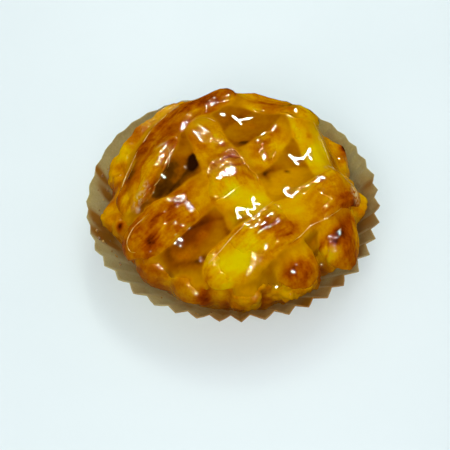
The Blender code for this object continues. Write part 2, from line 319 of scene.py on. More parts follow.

# %% [markdown]
# ## Where the oven has browned it
#
# Browning isn't random: the oven catches what stands up, and leaves what lies under another strip pale.
# So each piece has a list of spots on top of a soft random pattern. A spot is a place in
# plan, a reach and an amount, which is below zero where the dough has stayed yellow, and then a stretch
# and an angle if it is long. Two spots on the shell's front foot are painted light: they lighten it where it
# lies in shade.


# %% Spots on a piece
def spots(points, marks):
    """The sum of soft spots at each point. Lengths in the marks are millimetres, and angles are degrees."""
    total = np.zeros(len(points))
    for x, y, reach, amount, *shape in marks:
        stretch, angle = shape or (1, 0)
        turn = math.radians(angle)
        dx = points[:, 0] / MM - x
        dy = points[:, 1] / MM - y
        long_way = (dx * math.cos(turn) + dy * math.sin(turn)) / (reach * stretch)
        short_way = (dy * math.cos(turn) - dx * math.sin(turn)) / reach
        total += amount * np.exp(-(long_way**2) - short_way**2)
    return total


print("a spot of 0.5 in its middle:", spots(np.zeros((1, 3)), [(0, 0, 1, 0.5)])[0])

# %% How brown each piece is
BASE_BROWN = {  # 0 is raw yellow and 1 is burnt
    "pastry_shell": 0.46,
    "strip_middle": 0.52,
    "strip_right": 0.34,
    "strip_centre": 0.46,
    "strip_back": 0.43,
    "strip_left": 0.61,
    "strip_front": 0.42,
}
BROWN_AND_LIGHT_MARKS = {
    "pastry_shell": [
        (-26, -40, 8, 0.06), (-19, -43, 5, 0.02), (-33, -36, 3, 0.3), (-9.5, -45, 2.4, 0.3),
        # painted light: the marks at (12, -44) and (20, -44.5) lighten the front foot, which lies in shade
        (3, -46, 4, 0.05), (12, -44, 6, -0.06), (20, -44.5, 6, -0.02), (43.8, 22.5, 1.3, 0.9),
        (42, 21, 4, 0.2), (40, 20, 3, -0.15), (-36, 26, 5, 0.1), (-30, 34, 5, -0.1), (-41, 17, 4, -0.12),
        (-46.5, 10, 3.6, -0.04), (-45, 1, 5, 0.2), (-45, -12, 4, 0.06), (-40, -27, 6, 0.22),
        (-41, -16, 1.2, 0.6), (50, -2, 4, -0.12), (47, -14, 4, -0.1), (31, -34, 2, 0.4),
    ],
    "strip_left": [
        (-36.8, 0.6, 2.2, 0.46, 3, 76), (-34, 12, 2.2, 0.18, 3, 66), (-29, 22, 2.8, 0.14, 2, 55),
        (-18, 30, 3.6, 0.12), (-10, 34, 2.4, 0.12, 3, 30), (-2, 40, 3, 0.16),
        (-28.6, 4, 1.9, -0.22, 4.5, 74), (-38.5, -9, 3, -0.24, 1.8, 80), (-33, -6, 2.4, -0.2, 2.4, 76),
        (-15, 29, 2.2, -0.1, 3, 35),
    ],
    "strip_middle": [
        (-37, -29, 4.6, 0.2), (-31, -26, 2.8, -0.16, 1.6, 30), (-33.4, -23.6, 4.6, 0.06, 1.4, 30),
        (-28.5, -28, 3.4, 0.38), (-30, -31, 3, 0.16), (-24, -18.3, 4, 0.24, 1.8, 35),
        (-29, -22.6, 2.2, 0.06, 1.6, 30), (-15, -9, 2.2, 0.26, 2, 35), (-11, -8, 4, -0.18, 1.6, 40),
        (-20, -23.8, 2.6, 0.08, 2, 35), (12, 12.6, 3, 0.12), (8.6, 7.6, 2.4, 0.04),
        (17, 13, 3, -0.2, 2, 50), (11.2, 3, 3.6, -0.2), (22, 22, 4, -0.1),
    ],
    "strip_centre": [
        (-12, 26, 5, -0.22), (-14.8, 16, 3.4, 0.26, 1.6, 105), (-3.6, 11.2, 2, 0.36),
        (-1.6, 5, 2, 0.2, 2.2, 12), (-6, -1, 3, 0.14, 1.8, 100), (2, -1, 3, 0.12, 1.8, 110),
        (-7, 15, 3.4, -0.18, 1.5, 110), (0, -12, 6, -0.34), (6, -20, 4.5, -0.34, 1.8, 50),
        (-6, -18, 4, 0.12), (11, -14, 4, -0.24, 1.8, 50), (8, -6, 3, 0.06, 2, 110),
        (24, -40.4, 5, 0.4, 1.3, 20), (22, -38.6, 1.2, 0.12), (19.8, -41, 1.5, 0.2),
        (24, -40.8, 1.6, -0.2), (25, -33.6, 4, -0.14),
    ],
    "strip_right": [
        (30.4, 14, 4, -0.2, 1.6, 105), (29, 17.5, 1.1, 0.35), (33.6, 5, 3.6, -0.26, 2, 100),
        (27, 24, 4, 0.02), (40.6, -23, 4.6, 0.26), (42, -16, 4, 0.34), (36.5, -31, 3, 0.14),
        (41.6, -28.6, 5, 0.42), (36.6, -24, 3, 0.26), (35, -27, 2.6, 0.25), (37, -27.6, 1, 0.3),
        (34.8, -30, 3, -0.15), (31.5, -28, 1.5, 0.4), (42, -19, 3, 0.2),
    ],
    "strip_front": [
        (0.6, -39.4, 6, -0.34, 1.4, 40), (6.4, -35.4, 3.6, -0.22, 1.4, 40), (-9.4, -44.6, 2, 0.2),
        (14.5, -31.5, 5, 0.2, 1.4, 50), (12.7, -26.1, 2.4, 0.2, 2.2, 40), (19, -26.5, 4.5, 0.1, 1.4, 40),
        (24, -18, 4.6, -0.28, 1.4, 40), (31, -10, 3, 0.04), (34, -17, 3.2, 0.02, 1.8, 40),
        (30.6, -19.5, 3.6, 0.22, 1.4, 40), (40.6, -11, 4.6, 0.32, 1.5, 60), (45, -9.5, 2.6, 0.24),
        (37, -3, 2.4, -0.08),
    ],
    "strip_back": [
        (15.5, 35, 4, 0.14, 1.8, -30), (4, 42, 3, -0.1), (22, 28, 3, 0.08), (30, 27, 4, -0.2),
        (1, 36, 3, 0.05),
    ],
}
RIM_FOOT = 14 * MM  # the shell's spots belong to its rim, and fade out below it


def browned_and_shaded(piece, node):
    """How brown each point of a pastry piece is, with the painted light of a few spots."""
    points = places(piece)
    seed = len(node)
    patches = 0.2 * bumps(points, 6.5 * MM, seed) + 0.09 * bumps(points, 2.2 * MM, seed + 1)
    catches = np.clip((points[:, 2] - RIM_FOOT) / (5 * MM), 0, 1)
    if "strip" in node:  # it was rolled out, so its browning runs in streaks
        own = along_and_across(points)
        patches += 0.1 * bumps(own, (8 * MM, 1.5 * MM, 4 * MM), seed + 2)
        patches += 0.08 * bumps(own, (3.5 * MM, 0.8 * MM, 2 * MM), seed + 3)
        catches = 1
    return BASE_BROWN[node] + patches + catches * spots(points, BROWN_AND_LIGHT_MARKS[node])


print("spots:", sum(map(len, BROWN_AND_LIGHT_MARKS.values())))

# %% [markdown]
# ## The finish of glazed pastry
#
# Enriched dough bakes from yellow through gold to a dark red brown. After baking it is brushed with hot
# apricot glaze, which sets as a clear skin with a mirror gloss. In a shader that is a matt base under a
# coat: the base takes the fine crumb as bump, and the coat stays smooth and makes the sharp lights. Where
# a little glaze has dried out on top, it is a thin torn film, and its pale sheen is painted into the colour.
# Fine noise breaks up the colour, at about the size of the dough's own bubbles: 1 mm, as the real ones of
# 0.2 mm are too fine for the picture.


# %% The colours of baked dough
BAKED_COLOURS = [
    (0.0, "#cbb400"),
    (0.2, "#c8a100"),
    (0.38, "#c38800"),
    (0.54, "#ae6700"),
    (0.7, "#984700"),
    (0.85, "#7c2e00"),
    (1.0, "#3f1400"),
]
BUBBLE = 1.0 * MM


def baked_colour(tree):
    """The colour of pastry at each point, from the number that says how brown and how shaded it is, and the
    place.
    """
    level = add_node(tree, "Attribute", {"attribute_name": "browned_and_shaded"})
    where = add_node(tree, "TexCoord")
    fleck = add_node(
        tree, "TexNoise", inputs={"Vector": where.outputs["Object"], "Scale": 1 / BUBBLE, "Detail": 3}
    )
    centred = add_node(
        tree, "Math", {"operation": "MULTIPLY_ADD"}, {0: fleck.outputs["Fac"], 1: 0.24, 2: -0.12}
    )
    total = add_node(
        tree, "Math", {"operation": "ADD"}, {0: level.outputs["Fac"], 1: centred.outputs["Value"]}
    )
    colour = add_node(tree, "ValToRGB", inputs={"Fac": total.outputs["Value"]}, stops=BAKED_COLOURS)
    return colour.outputs["Color"], where.outputs["Object"]


print("pastry colours:", len(BAKED_COLOURS))


# %% The coat of clear glaze
GLAZED = {
    "Roughness": 0.5,  # the dough below is matt, and its coat alone mirrors
    "Specular IOR Level": 0.0,
    "Coat Roughness": 0.015,  # set glaze is as smooth as glass
    "Coat IOR": 1.3,  # sugar glaze has about 1.45, but its mirror lights would come out too strong
}


def rippled_coat(tree, shader, where, spacing, height):
    """Glaze sets with fine ripples, which break its mirror lights into short strokes."""
    ripple = add_node(tree, "TexNoise", inputs={"Vector": where, "Scale": 1 / spacing, "Detail": 1})
    relief = add_node(
        tree, "Bump", inputs={"Strength": 0.5, "Distance": height, "Height": ripple.outputs["Fac"]}
    )
    tree.links.new(relief.outputs["Normal"], shader.inputs["Coat Normal"])


def coat_where_wet(tree, shader):
    """A clear coat, but for the places noted as matt."""
    matt = add_node(tree, "Attribute", {"attribute_name": "matt"})
    wet_share = add_node(tree, "Math", {"operation": "SUBTRACT"}, {0: 1.0, 1: matt.outputs["Fac"]})
    tree.links.new(wet_share.outputs["Value"], shader.inputs["Coat Weight"])


print("coat IOR:", GLAZED["Coat IOR"])


# %% Glazed pastry
FILM_SHEEN_COLOUR = "#cdb074"  # a thin dried film of glaze, with its pale sheen painted over the gold
CRUMB = 0.7 * MM


def glazed_pastry(name, spacing, height):
    """Baked dough under clear glaze with ripples of that spacing and height."""
    material, tree, shader = new_finish(name, GLAZED)
    colour, where = baked_colour(tree)
    film_sheen = add_node(tree, "Attribute", {"attribute_name": "film_sheen"})
    veiled = add_node(
        tree,
        "Mix",
        {"data_type": "RGBA"},
        {"Factor": film_sheen.outputs["Fac"], "A": colour, "B": linear(FILM_SHEEN_COLOUR)},
    )
    crumb = add_node(tree, "TexNoise", inputs={"Vector": where, "Scale": 1 / CRUMB, "Detail": 4})
    wrinkle = add_node(tree, "Attribute", {"attribute_name": "wrinkle"})
    rough = add_node(
        tree,
        "Math",
        {"operation": "MULTIPLY_ADD"},
        {0: crumb.outputs["Fac"], 1: 0.4, 2: wrinkle.outputs["Fac"]},
    )
    relief = add_node(
        tree,
        "Bump",
        inputs={"Strength": 0.6, "Distance": 0.35 * MM, "Height": rough.outputs["Value"]},
    )
    tree.links.new(veiled.outputs["Result"], shader.inputs["Base Color"])
    tree.links.new(relief.outputs["Normal"], shader.inputs["Normal"])
    rippled_coat(tree, shader, where, spacing, height)
    coat_where_wet(tree, shader)
    return material


RIPPLES = (2.5 * MM, 0.05 * MM)  # their spacing and height on smooth dough and on the pools
strip_finish = glazed_pastry("apricot_glazed_dough", *RIPPLES)
crust_finish = glazed_pastry("apricot_glazed_crust", 1.8 * MM, 0.5 * MM)
print("finishes:", strip_finish.name, crust_finish.name)

# %% [markdown]
# ## Where the glaze has dried or run off
#
# On a few edges, the glaze has dried out to a thin film and torn, and its pale sheen is painted into the
# colour. And on some tops hardly any is left, so they mirror nothing. Both are lists of spots, as the
# browning is.

# %% Film with its painted sheen, and matt places
# painted sheen: the pale shine on these thin films of glaze is painted into the colour
FILM_SHEEN_MARKS = {
    "strip_left": [
        (-31.6, -7.4, 1, 0.9, 1.4, 62), (-34, -10.6, 1.2, 0.9, 1.6, 50), (-26, 10.5, 0.8, 0.6, 2, 30),
    ],
    "strip_front": [
        (45.2, -4.4, 1.2, 1.2, 3, 98), (42.6, 1.6, 1.3, 1.2, 2, 150), (38, 2.8, 1.1, 1.1, 2.4, 15),
    ],
    "strip_right": [(33.5, 17, 0.6, 0.35, 5, 110)],
}
MATT_MARKS = [
    (8.6, 35.5, 4, 0.95, 1.6, -10), (15, 31, 3.4, 0.9), (6, 33, 3, 0.8), (0.5, 35.5, 3, 0.9, 1.6, 20),
    (-6.8, 33.6, 2.6, 0.8), (-14.5, 4, 3.4, 1.2), (-18, 7, 2, 1), (-14.7, 6.8, 2, 1),
    (-17.6, 3.2, 2.4, 1), (-12, 16.5, 4.6, 0.85), (-39, 20, 9, 0.7), (-30, 32, 8, 0.6),
]


def torn(points):
    """How whole the dried film and its painted sheen are at each point: it has broken up, with hard edges."""
    return np.clip(0.55 + 3 * bumps(points, 1.3 * MM, 61), 0, 1)


print("film and matt places:", sum(map(len, FILM_SHEEN_MARKS.values())) + len(MATT_MARKS))

# %% [markdown]
# ## The strips of dough
#
# The six strips are laid on each other. Each has risen unevenly, has small blisters, and has faint ridges
# along its length where the dough was rolled. The centre strip has folds across it, where it was
# pushed together. A fold or crease is short and nearly straight, so each one is set as a line in plan and
# pressed in.

# %% Creases
CREASES = {  # middle in plan, half its length, degrees and depth
    "strip_centre": [
        (-3.2, 7.2, 5.5, 24, 0.7), (-1.4, 3.2, 6, 20, 0.8), (0.2, -0.4, 5.5, 22, 0.6),
        (-11, 21, 4, 35, 0.4), (-6, 14, 3.5, 10, 0.4),
    ],
    "strip_left": [
        (-32.4, 4, 12, 74, 0.7), (-23, 29, 9, 42, 0.3), (-14, 36, 7, 22, 0.25), (-37.5, -9, 5, 70, 0.4),
    ],
    "strip_middle": [
        (-24, -17.5, 8, 36, 0.4), (-19, -15.5, 6, 38, 0.35), (13, 14, 6, 50, 0.4),
        (-34, -26, 3.5, -20, 0.4),
    ],
    "strip_front": [
        (13, -26, 8, 42, 0.45), (27, -13.5, 7, 40, 0.4), (21, -27, 9, 44, 0.5), (-2, -42, 4, -60, 0.4),
        (40, -4, 4, 110, 0.4),
    ],
    "strip_right": [(27.5, 20, 7, 105, 0.45), (39, -20, 5, 80, 0.5), (34, -30, 4, 60, 0.5)],
    "strip_back": [(10, 36, 9, -12, 0.15), (24, 30, 6, -35, 0.3)],
}
CREASE_WIDTH = 0.55  # mm, and the lists above are in mm too


def creased(points, creases):
    """How deep the creases are at each point, in mm. Each is a short wavy line in plan with a soft edge."""
    deepest = np.zeros(len(points))
    for x, y, half, angle, depth in creases:
        turn = math.radians(angle)
        dx = points[:, 0] / MM - x
        dy = points[:, 1] / MM - y
        along = (dx * math.cos(turn) + dy * math.sin(turn)) / half
        across = (dy * math.cos(turn) - dx * math.sin(turn)) / CREASE_WIDTH
        across += 1.2 * np.sin(along * 5 + x)
        deepest = np.maximum(deepest, depth * np.clip(1 - along**2, 0, 1) * np.exp(-(across**2)))
    return deepest


print("creases:", sum(map(len, CREASES.values())))


# %% Dress the strips
STRIP_NET = 0.4 * MM
STRIP_SLOTS = {
    "strip_middle": "glazed_strip",
    "strip_right": "glazed_strip",
    "strip_centre": "glazed_strip",
    "strip_back": "browned_strip",
    "strip_left": "browned_strip",
    "strip_front": "pale_strip",
}


def risen(piece, node):
    """How far baking has swollen, blistered and faintly ridged a strip, in mm."""
    points = places(piece)
    seed = len(node) + ord(node[-1])
    own = along_and_across(points)
    swelling = 0.5 * bumps(points, 10 * MM, seed)
    blisters = 0.5 * np.clip(bumps(points, 4.2 * MM, seed + 1) - 0.1, 0, None)
    ridges = 0.05 * bumps(own, (12 * MM, 2.5 * MM, 6 * MM), seed + 2)
    upper = np.clip(facings(piece)[:, 2], 0, 1)
    return 0.3 + swelling + (blisters + ridges) * (0.4 + 0.6 * upper) - creased(points, CREASES[node])


for node, slot in STRIP_SLOTS.items():
    strip = even_copy(node, f"dough_{node}", STRIP_NET, 4)
    puff(strip, risen(strip, node))
    points = places(strip)
    own = along_and_across(points)
    # painted shade: each crease is also made browner, the more the deeper it is
    note(strip, "browned_and_shaded", browned_and_shaded(strip, node) + 0.3 * creased(points, CREASES[node]))
    note(strip, "wrinkle", 0.5 + 0.5 * bumps(own, (6 * MM, 1.2 * MM, 4 * MM), len(node)))
    note(strip, "film_sheen", torn(points) * spots(points, FILM_SHEEN_MARKS.get(node, [])))
    note(strip, "matt", spots(points, MATT_MARKS))
    strip.data.materials.append(strip_finish)
    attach(strip, "root")
    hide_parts(node)
    print(strip.name, len(strip.data.polygons), "faces")

# %% [markdown]
# ## The pastry shell
#
# The shell is the same dough, but its rim has burst into lobes, and its outside is rough where it touched
# the paper. The lobes come from billows: the absolute value of noise has round tops and sharp valleys, as
# torn dough has. The glaze has smoothed most of it. Only at the front right is it as rough as it baked,
# and a few notches part the lobes along the front.

# %% Dress the shell
SMOOTHED = 0.3  # what the glaze leaves of its lumps
TORN_UP = 1.6  # and how much rougher than plain dough the front right is
NOTCHES = [(-25.9, -40.2), (-12.5, -43.4), (-1.8, -46.4), (12.1, -45.7), (33.4, -31.7)]  # in plan, in mm
NOTCH_REACH = 1.8
NOTCH_DEPTH = 1.7

shell = even_copy("pastry_shell", "crust_shell", 0.6 * MM, 3)
points = places(shell)
at_rim = np.clip((np.hypot(points[:, 0], points[:, 1]) / MM - 34) / 6, 0, 1)  # from 34 to 40 mm out
at_front = np.clip((-28 - points[:, 1] / MM) / 8, 0, 1)  # from 28 to 36 mm in front of the middle
at_right = np.clip((4 + points[:, 0] / MM) / 8, 0, 1)  # from 4 mm left of it to 4 mm right
lobes = 1.7 * np.abs(bumps(points, (6.5 * MM, 6.5 * MM, 12 * MM), 3)) - 0.4
lobes *= 1 - (1 - SMOOTHED) * at_front * (1 - at_right)
knobs = 0.8 * np.abs(bumps(points, 3.2 * MM, 5)) - 0.2
grains = 0.22 * bumps(points, 1.5 * MM, 7)
roughness = SMOOTHED + (TORN_UP - SMOOTHED) * at_front * at_right
notched = spots(points, [(x, y, NOTCH_REACH, 1) for x, y in NOTCHES])
burst = (lobes + (knobs + grains) * roughness) * at_rim - NOTCH_DEPTH * notched
puff(shell, burst)
print("lobes stand out by up to", round(burst.max(), 1), "mm")

# %% Bake the shell
points = places(shell)
low = np.clip((21 * MM - points[:, 2]) / (7 * MM), 0, 1)  # the wall below the rim
# painted shade: the notches between the lobes are made browner too
note(shell, "browned_and_shaded", browned_and_shaded(shell, "pastry_shell") + 0.05 * low + 0.08 * notched)
note(shell, "matt", spots(points, MATT_MARKS))
note(shell, "wrinkle", 0.5 + 0.5 * bumps(points, 1.8 * MM, 12))
shell.data.materials.append(crust_finish)
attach(shell, "root")
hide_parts("pastry_shell")
print("crust_shell", len(shell.data.polygons), "faces")

# %% [markdown]
# ## Cooked apple
#
# Apple that has been stewed with sugar turns amber and slightly clear. Its surface is wet and softly
# lumpy. Between the slices lies chopped apple in its own syrup, of which only the top shows.


# %% Stewed apple
VEINS = 3 * MM  # from one to the next
WET_FRUIT = {
    "Roughness": 0.3,
    "Specular IOR Level": 0.15,
    "Coat Weight": 0.7,  # syrup wets most of it
    "Coat Roughness": 0.05,
}


def stewed_apple(name, light, dark):
    """Amber fruit, wet with syrup, with darker veins."""
    material, tree, shader = new_finish(name, WET_FRUIT)
    where = add_node(tree, "TexCoord")
    veins = add_node(
        tree,
        "TexNoise",
        inputs={"Vector": where.outputs["Object"], "Scale": 1 / VEINS, "Detail": 4, "Distortion": 0.6},
    )
    colour = add_node(
        tree, "ValToRGB", inputs={"Fac": veins.outputs["Fac"]}, stops=[(0.3, dark), (0.65, light)]
    )
    tree.links.new(colour.outputs["Color"], shader.inputs["Base Color"])
    return material


filling_finish = stewed_apple("stewed_apple_filling", "#a36800", "#6b3600")
print("finish:", filling_finish.name)

# %% Dress the slices and the filling
COOKED = {"left": 0.6, "right": 0.42, "back": 0.62, "front": 0.6}  # how dark each slice has gone
slices = []
for side, cooked in COOKED.items():
    node = f"apple_slice_{side}"
    fruit = even_copy(node, f"stewed_{side}_slice", 0.45 * MM, 3)
    points = places(fruit)
    soft = 0.35 * bumps(points, 5 * MM, len(side)) + 0.15 * bumps(points, 2 * MM, len(side) + 9)
    puff(fruit, soft)
    note(fruit, "browned_and_shaded", cooked + 0.1 * bumps(places(fruit), 4 * MM, 2))
    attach(fruit, "root")
    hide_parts(node)
    slices.append(fruit)

filling = even_copy("apple_filling", "stewed_filling", 0.7 * MM, 2)
points = places(filling)
chunks = 1.1 * np.abs(bumps(points, 8 * MM, 4)) + 0.25 * bumps(points, 3 * MM, 6)
puff(filling, chunks)
note(filling, "browned_and_shaded", np.full(len(points), 0.6))
filling.data.materials.append(filling_finish)
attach(filling, "root")
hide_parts("apple_filling")
print("apple pieces dressed")

# %% [markdown]
# ## The glaze that has run together
#
# Hot glaze runs off the strips, fills the creases, and stands in the openings almost to the top. Its
# surface follows a simple rule: it is where a ball would touch as it rolls over the tart, because the
# glaze's own skin can't follow a sharp hollow. So the tart's height is measured on a grid by looking
# straight down, a ball is rolled over it in numbers, and the glaze is whatever lies between the two
# surfaces.

# %% Look straight down on the tart
CELL = 0.4 * MM  # as fine as the strips' own net
POOL_REACH = 49 * MM  # half of the grid's side
HIGH_ABOVE = 0.1  # metres, well clear of the tart
PASTRY_MIDDLE = (1.5 * MM, -0.5 * MM)  # it lies a little off the case's own middle


def fresh_graph():
    """The scene as it is now, for rays and for copies of what modifiers and curves make."""
    bpy.context.view_layer.update()
    return bpy.context.evaluated_depsgraph_get()


def look_down(graph, x, y):
    """What a ray straight down meets first: whether it does, the place, the face's number and the object."""
    start = Vector((x, y, HIGH_ABOVE))
    hit, place, _, face, thing, _ = scene.ray_cast(graph, start, Vector((0, 0, -1)))
    return hit, place, face, thing


steps = np.arange(-POOL_REACH, POOL_REACH, CELL)
grid_x, grid_y = np.meshgrid(steps + PASTRY_MIDDLE[0], steps + PASTRY_MIDDLE[1], indexing="ij")
top = np.zeros(grid_x.shape)
brown_below = np.full(grid_x.shape, 0.5)
dough_below = np.zeros(grid_x.shape)
graph = fresh_graph()
noted = {}
for i, j in np.ndindex(grid_x.shape):
    hit, place, face, thing = look_down(graph, grid_x[i, j], grid_y[i, j])
    if not hit or "browned_and_shaded" not in thing.data.attributes:
        continue
    top[i, j] = place.z
    if thing.name not in noted:
        values = np.empty(len(thing.data.vertices), np.float32)
        thing.data.attributes["browned_and_shaded"].data.foreach_get("value", values)
        noted[thing.name] = (thing.data, values)
    mesh, values = noted[thing.name]
    brown_below[i, j] = values[mesh.polygons[face].vertices[0]]
    dough_below[i, j] = thing.name.startswith("dough")
print("highest point in mm:", round(top.max() / MM, 1))


# %% Helpers that work on the grid
LARGE_BALL = 12 * MM  # one this large is rolled over every second cell, which is far faster


def rolled(heights, radius):
    """The surface that a ball of that radius touches from above as it rolls over the heights."""
    every = 1 if radius < LARGE_BALL else 2
    coarse = heights[::every, ::every]
    cell = CELL * every
    reach = int(radius / cell)
    shifts = [(i, j) for i in range(-reach, reach + 1) for j in range(-reach, reach + 1)]
    shifts = [(i, j) for i, j in shifts if i * i + j * j <= reach**2]
    disc = [(i, j, math.sqrt(radius**2 - (i * i + j * j) * cell**2)) for i, j in shifts]
    surface = coarse
    for sign in (1, -1):
        padded = np.pad(sign * surface, reach, mode="edge")
        found = np.full(coarse.shape, -1.0)
        for i, j, rise in disc:
            window = padded[reach + i : reach + i + len(coarse), reach + j : reach + j + len(coarse)]
            np.maximum(found, window + rise, out=found)
        surface = sign * found
    return finer(surface, every, len(heights))


def finer(field, every, count):
    """A coarse square field drawn out to that many cells a side, in straight lines between its points."""
    fine = np.arange(count) / every
    own = np.arange(len(field))
    tall = np.array([np.interp(fine, own, line) for line in field.T]).T
    return np.array([np.interp(fine, own, line) for line in tall])


def softened(field, passes):
    """The field with its small steps worn away."""
    for _ in range(passes):
        framed = np.pad(field, 1, mode="edge")
        field = (framed[:-2, 1:-1] + framed[2:, 1:-1] + framed[1:-1, :-2] + framed[1:-1, 2:]) / 4
    return field


def eased(values):
    """Numbers from 0 to 1 with a soft start and a soft end."""
    values = np.clip(values, 0, 1)
    return values * values * (3 - 2 * values)


print("grid:", grid_x.shape)

# %% Roll three balls over it
BALLS = [(3.5 * MM, 46 * MM), (9 * MM, 43.5 * MM), (30 * MM, 39 * MM)]  # radius and how far out it rolls
EDGE_WIDTH = 5 * MM  # over which a ball's share fades out
CRUST_FOOT = 22 * MM  # outside the rim, the glaze has run off whatever lies lower
RIM_INSIDE = 41 * MM
SHRUNK = 0.22  # mm, lost as it set
FRONT_RUN = 3.5 * MM  # the glaze has run this much further out, and down, in front
SINKS = [  # where the glaze stands lower: middle in plan, reach and depth, in mm
    (-28, -9, 6, 2.4), (-20, -2, 5, 0.8), (-14.6, 3.5, 2.4, 0.5), (-12, -23, 6, 0.8),
]
LUMPY = [  # where loose bits of crust lie in it, and by what share
    (15, -42, 9, 1), (27, -40, 7, 0.8), (37, -27, 6, 0.6), (-22, -39, 6, 0.5), (44, 12, 5, 0.6),
]
spread = np.column_stack([grid_x.ravel(), grid_y.ravel(), np.zeros(grid_x.size)])
sunk = spots(spread, SINKS).reshape(grid_x.shape)
lumpy = spots(spread, LUMPY).reshape(grid_x.shape)
ripples = 0.07 * bumps(spread, 6 * MM, 8).reshape(grid_x.shape)
ripples += 0.9 * lumpy * bumps(spread, 2.8 * MM, 9).reshape(grid_x.shape)
run = FRONT_RUN * eased((-grid_y - 28 * MM) / (8 * MM))
from_middle = np.hypot(grid_x - PASTRY_MIDDLE[0], grid_y - PASTRY_MIDDLE[1]) - run
within = from_middle < RIM_INSIDE - run
kept = np.maximum(eased((top - CRUST_FOOT + run) / (3 * MM)), within)
filled = top.copy()
for ball, limit in BALLS:
    share = kept * eased((limit + EDGE_WIDTH / 2 - from_middle) / EDGE_WIDTH)
    filled += share * (np.maximum(rolled(top, ball), filled) - filled)
deepest = np.interp(from_middle, [36 * MM, 43 * MM], [8 * MM, 1.3 * MM])  # it runs off the outer slopes
filled = np.minimum(filled, top + deepest)
surface = softened(filled, 4) - (SHRUNK + sunk - ripples) * MM
depth = surface - top
print("share of the grid under glaze:", round(float((depth > 0).mean()), 2))

# %% Skin the glaze
SKIRT = 0.35 * MM  # how far it reaches down inside the pastry, so that no edge shows


def grown(mask, passes):
    """The mask with its border moved out by that many cells, or in, for a negative number."""
    for _ in range(abs(passes)):
        framed = np.pad(mask if passes > 0 else ~mask, 1)
        wide = framed[:-2, 1:-1] | framed[2:, 1:-1] | framed[1:-1, :-2] | framed[1:-1, 2:]
        wide |= framed[1:-1, 1:-1]
        mask = wide if passes > 0 else ~wide
    return mask


wet = grown(grown(depth > 0.05 * MM, -1), 3) & grown((top > CRUST_FOOT - run) | within, -3)
worn_top = softened(top, 1) - SKIRT
from_edge = eased(softened(wet.astype(float), 4) * 2 - 1)
skin = worn_top + from_edge * np.clip(surface - worn_top, 0, None) - (1 - from_edge) * SKIRT
number = np.full(wet.shape, -1)
number[wet] = np.arange(wet.sum())
upper_side = np.column_stack([grid_x[wet], grid_y[wet], skin[wet]])
lower_side = np.column_stack([grid_x[wet], grid_y[wet], (skin - 2 * SKIRT)[wet]])
squares = np.stack([number[:-1, :-1], number[1:, :-1], number[1:, 1:], number[:-1, 1:]], axis=-1)
squares = squares[(squares >= 0).all(-1)]
under = squares[:, ::-1] + len(upper_side)
ways = np.concatenate([squares[:, [k, (k + 1) % 4]] for k in range(4)])
known = set(map(tuple, ways.tolist()))
rim = [(a, b) for a, b in ways.tolist() if (b, a) not in known]
sides = [(b, a, a + len(upper_side), b + len(upper_side)) for a, b in rim]

glaze_mesh = bpy.data.meshes.new("set_glaze")
faces = squares.tolist() + under.tolist() + sides
glaze_mesh.from_pydata(np.vstack([upper_side, lower_side]).tolist(), [], faces)
cleaner = bmesh.new()
cleaner.from_mesh(glaze_mesh)
bmesh.ops.delete(cleaner, geom=[v for v in cleaner.verts if not v.link_faces], context="VERTS")
cleaner.to_mesh(glaze_mesh)
cleaner.free()
glaze_mesh.shade_smooth()
glaze = add_object("set_glaze", glaze_mesh)
print("set_glaze", len(glaze_mesh.polygons), "faces")

# %% [markdown]
# ## What shows through the glaze
#
# Set apricot glaze is clear and amber. What lies just under it shows, and what lies deeper sinks into
# brown, because light loses its yellow on the way. A truly clear material would need many light paths to
# come out clean, so the colour is worked out from the depth instead: pastry colour where the glaze is
# thin, amber and then brown below. Spots add what the depth alone can't tell: most are the glaze's own
# tone, and the near-black hollow on the left and the dark part of that pool are painted shade.

# %% Spots in the glaze
TONE_AND_SHADE_MARKS = [  # darker, or lighter, than the depth alone would make it; the darkest, in the hollow near (-14.4, 3.2) and the left pool around (-27, -8.6) and (-22.8, -0.8), are painted shade
    (-22.8, -0.8, 6, 0.44, 1.3, 60), (-17.7, 13, 4, 0.12), (-14.4, 3.2, 1.5, 1.1, 2.2, 88),
    (-15, 2.4, 3.4, 0.25, 1.6, 86), (-27, -8.6, 4, 0.5, 1.7, 20), (6.6, 20.5, 8, 0.36, 1.3, 20),
    (4.7, 12.5, 3, 0.15), (20.4, 0.4, 0.8, 0.7, 1.6, -30), (12.4, -2.6, 1.3, 0.3, 3, 112),
    (24, 2, 5, 0.08), (14, 1, 3, 0.2, 1.6, 100), (-14, -28.5, 5.5, 0.3, 1.7, 35),
    (-9.5, -23.6, 3.2, 0.26, 1.6, 35), (-6, -20.4, 3, -0.18, 1.5, 50), (-2.3, -26.8, 3, 0.04),
    (1, -13, 7, -0.4), (12, -16, 5, -0.3, 1.5, 45), (-20, -35, 6, 0.2, 1.5, 20), (1, -24, 5, 0.3),
    (-18, -26, 4, 0.12), (-12, -36, 6, 0.12), (-14, -33, 1.4, 0.12, 2.5, 60),
]
RED_MARKS = [  # where the apple below is more red than golden
    (-14, -28, 6, 1.0, 1.6, 35), (-9.5, -23, 3, 0.6, 2, 35), (-14.8, 2, 3, 0.5), (-20, 12, 5, 0.4),
    (7, 27, 6, 0.3),
]
print("spots in the glaze:", len(TONE_AND_SHADE_MARKS) + len(RED_MARKS))


# %% Note what lies below
def on_grid(field, points):
    """The field's value at the grid's cell nearest to each point."""
    i = np.clip(np.round((points[:, 0] - grid_x[0, 0]) / CELL).astype(int), 0, len(steps) - 1)
    j = np.clip(np.round((points[:, 1] - grid_y[0, 0]) / CELL).astype(int), 0, len(steps) - 1)
    return field[i, j]


FRUIT_HIDDEN = 1.1 * MM  # the glaze hides fruit where it is as deep as this
DOUGH_HIDDEN = 4.5 * MM  # and pale dough shows through it for longer
AMBER_DEPTH = 5 * MM  # deeper glaze is no browner

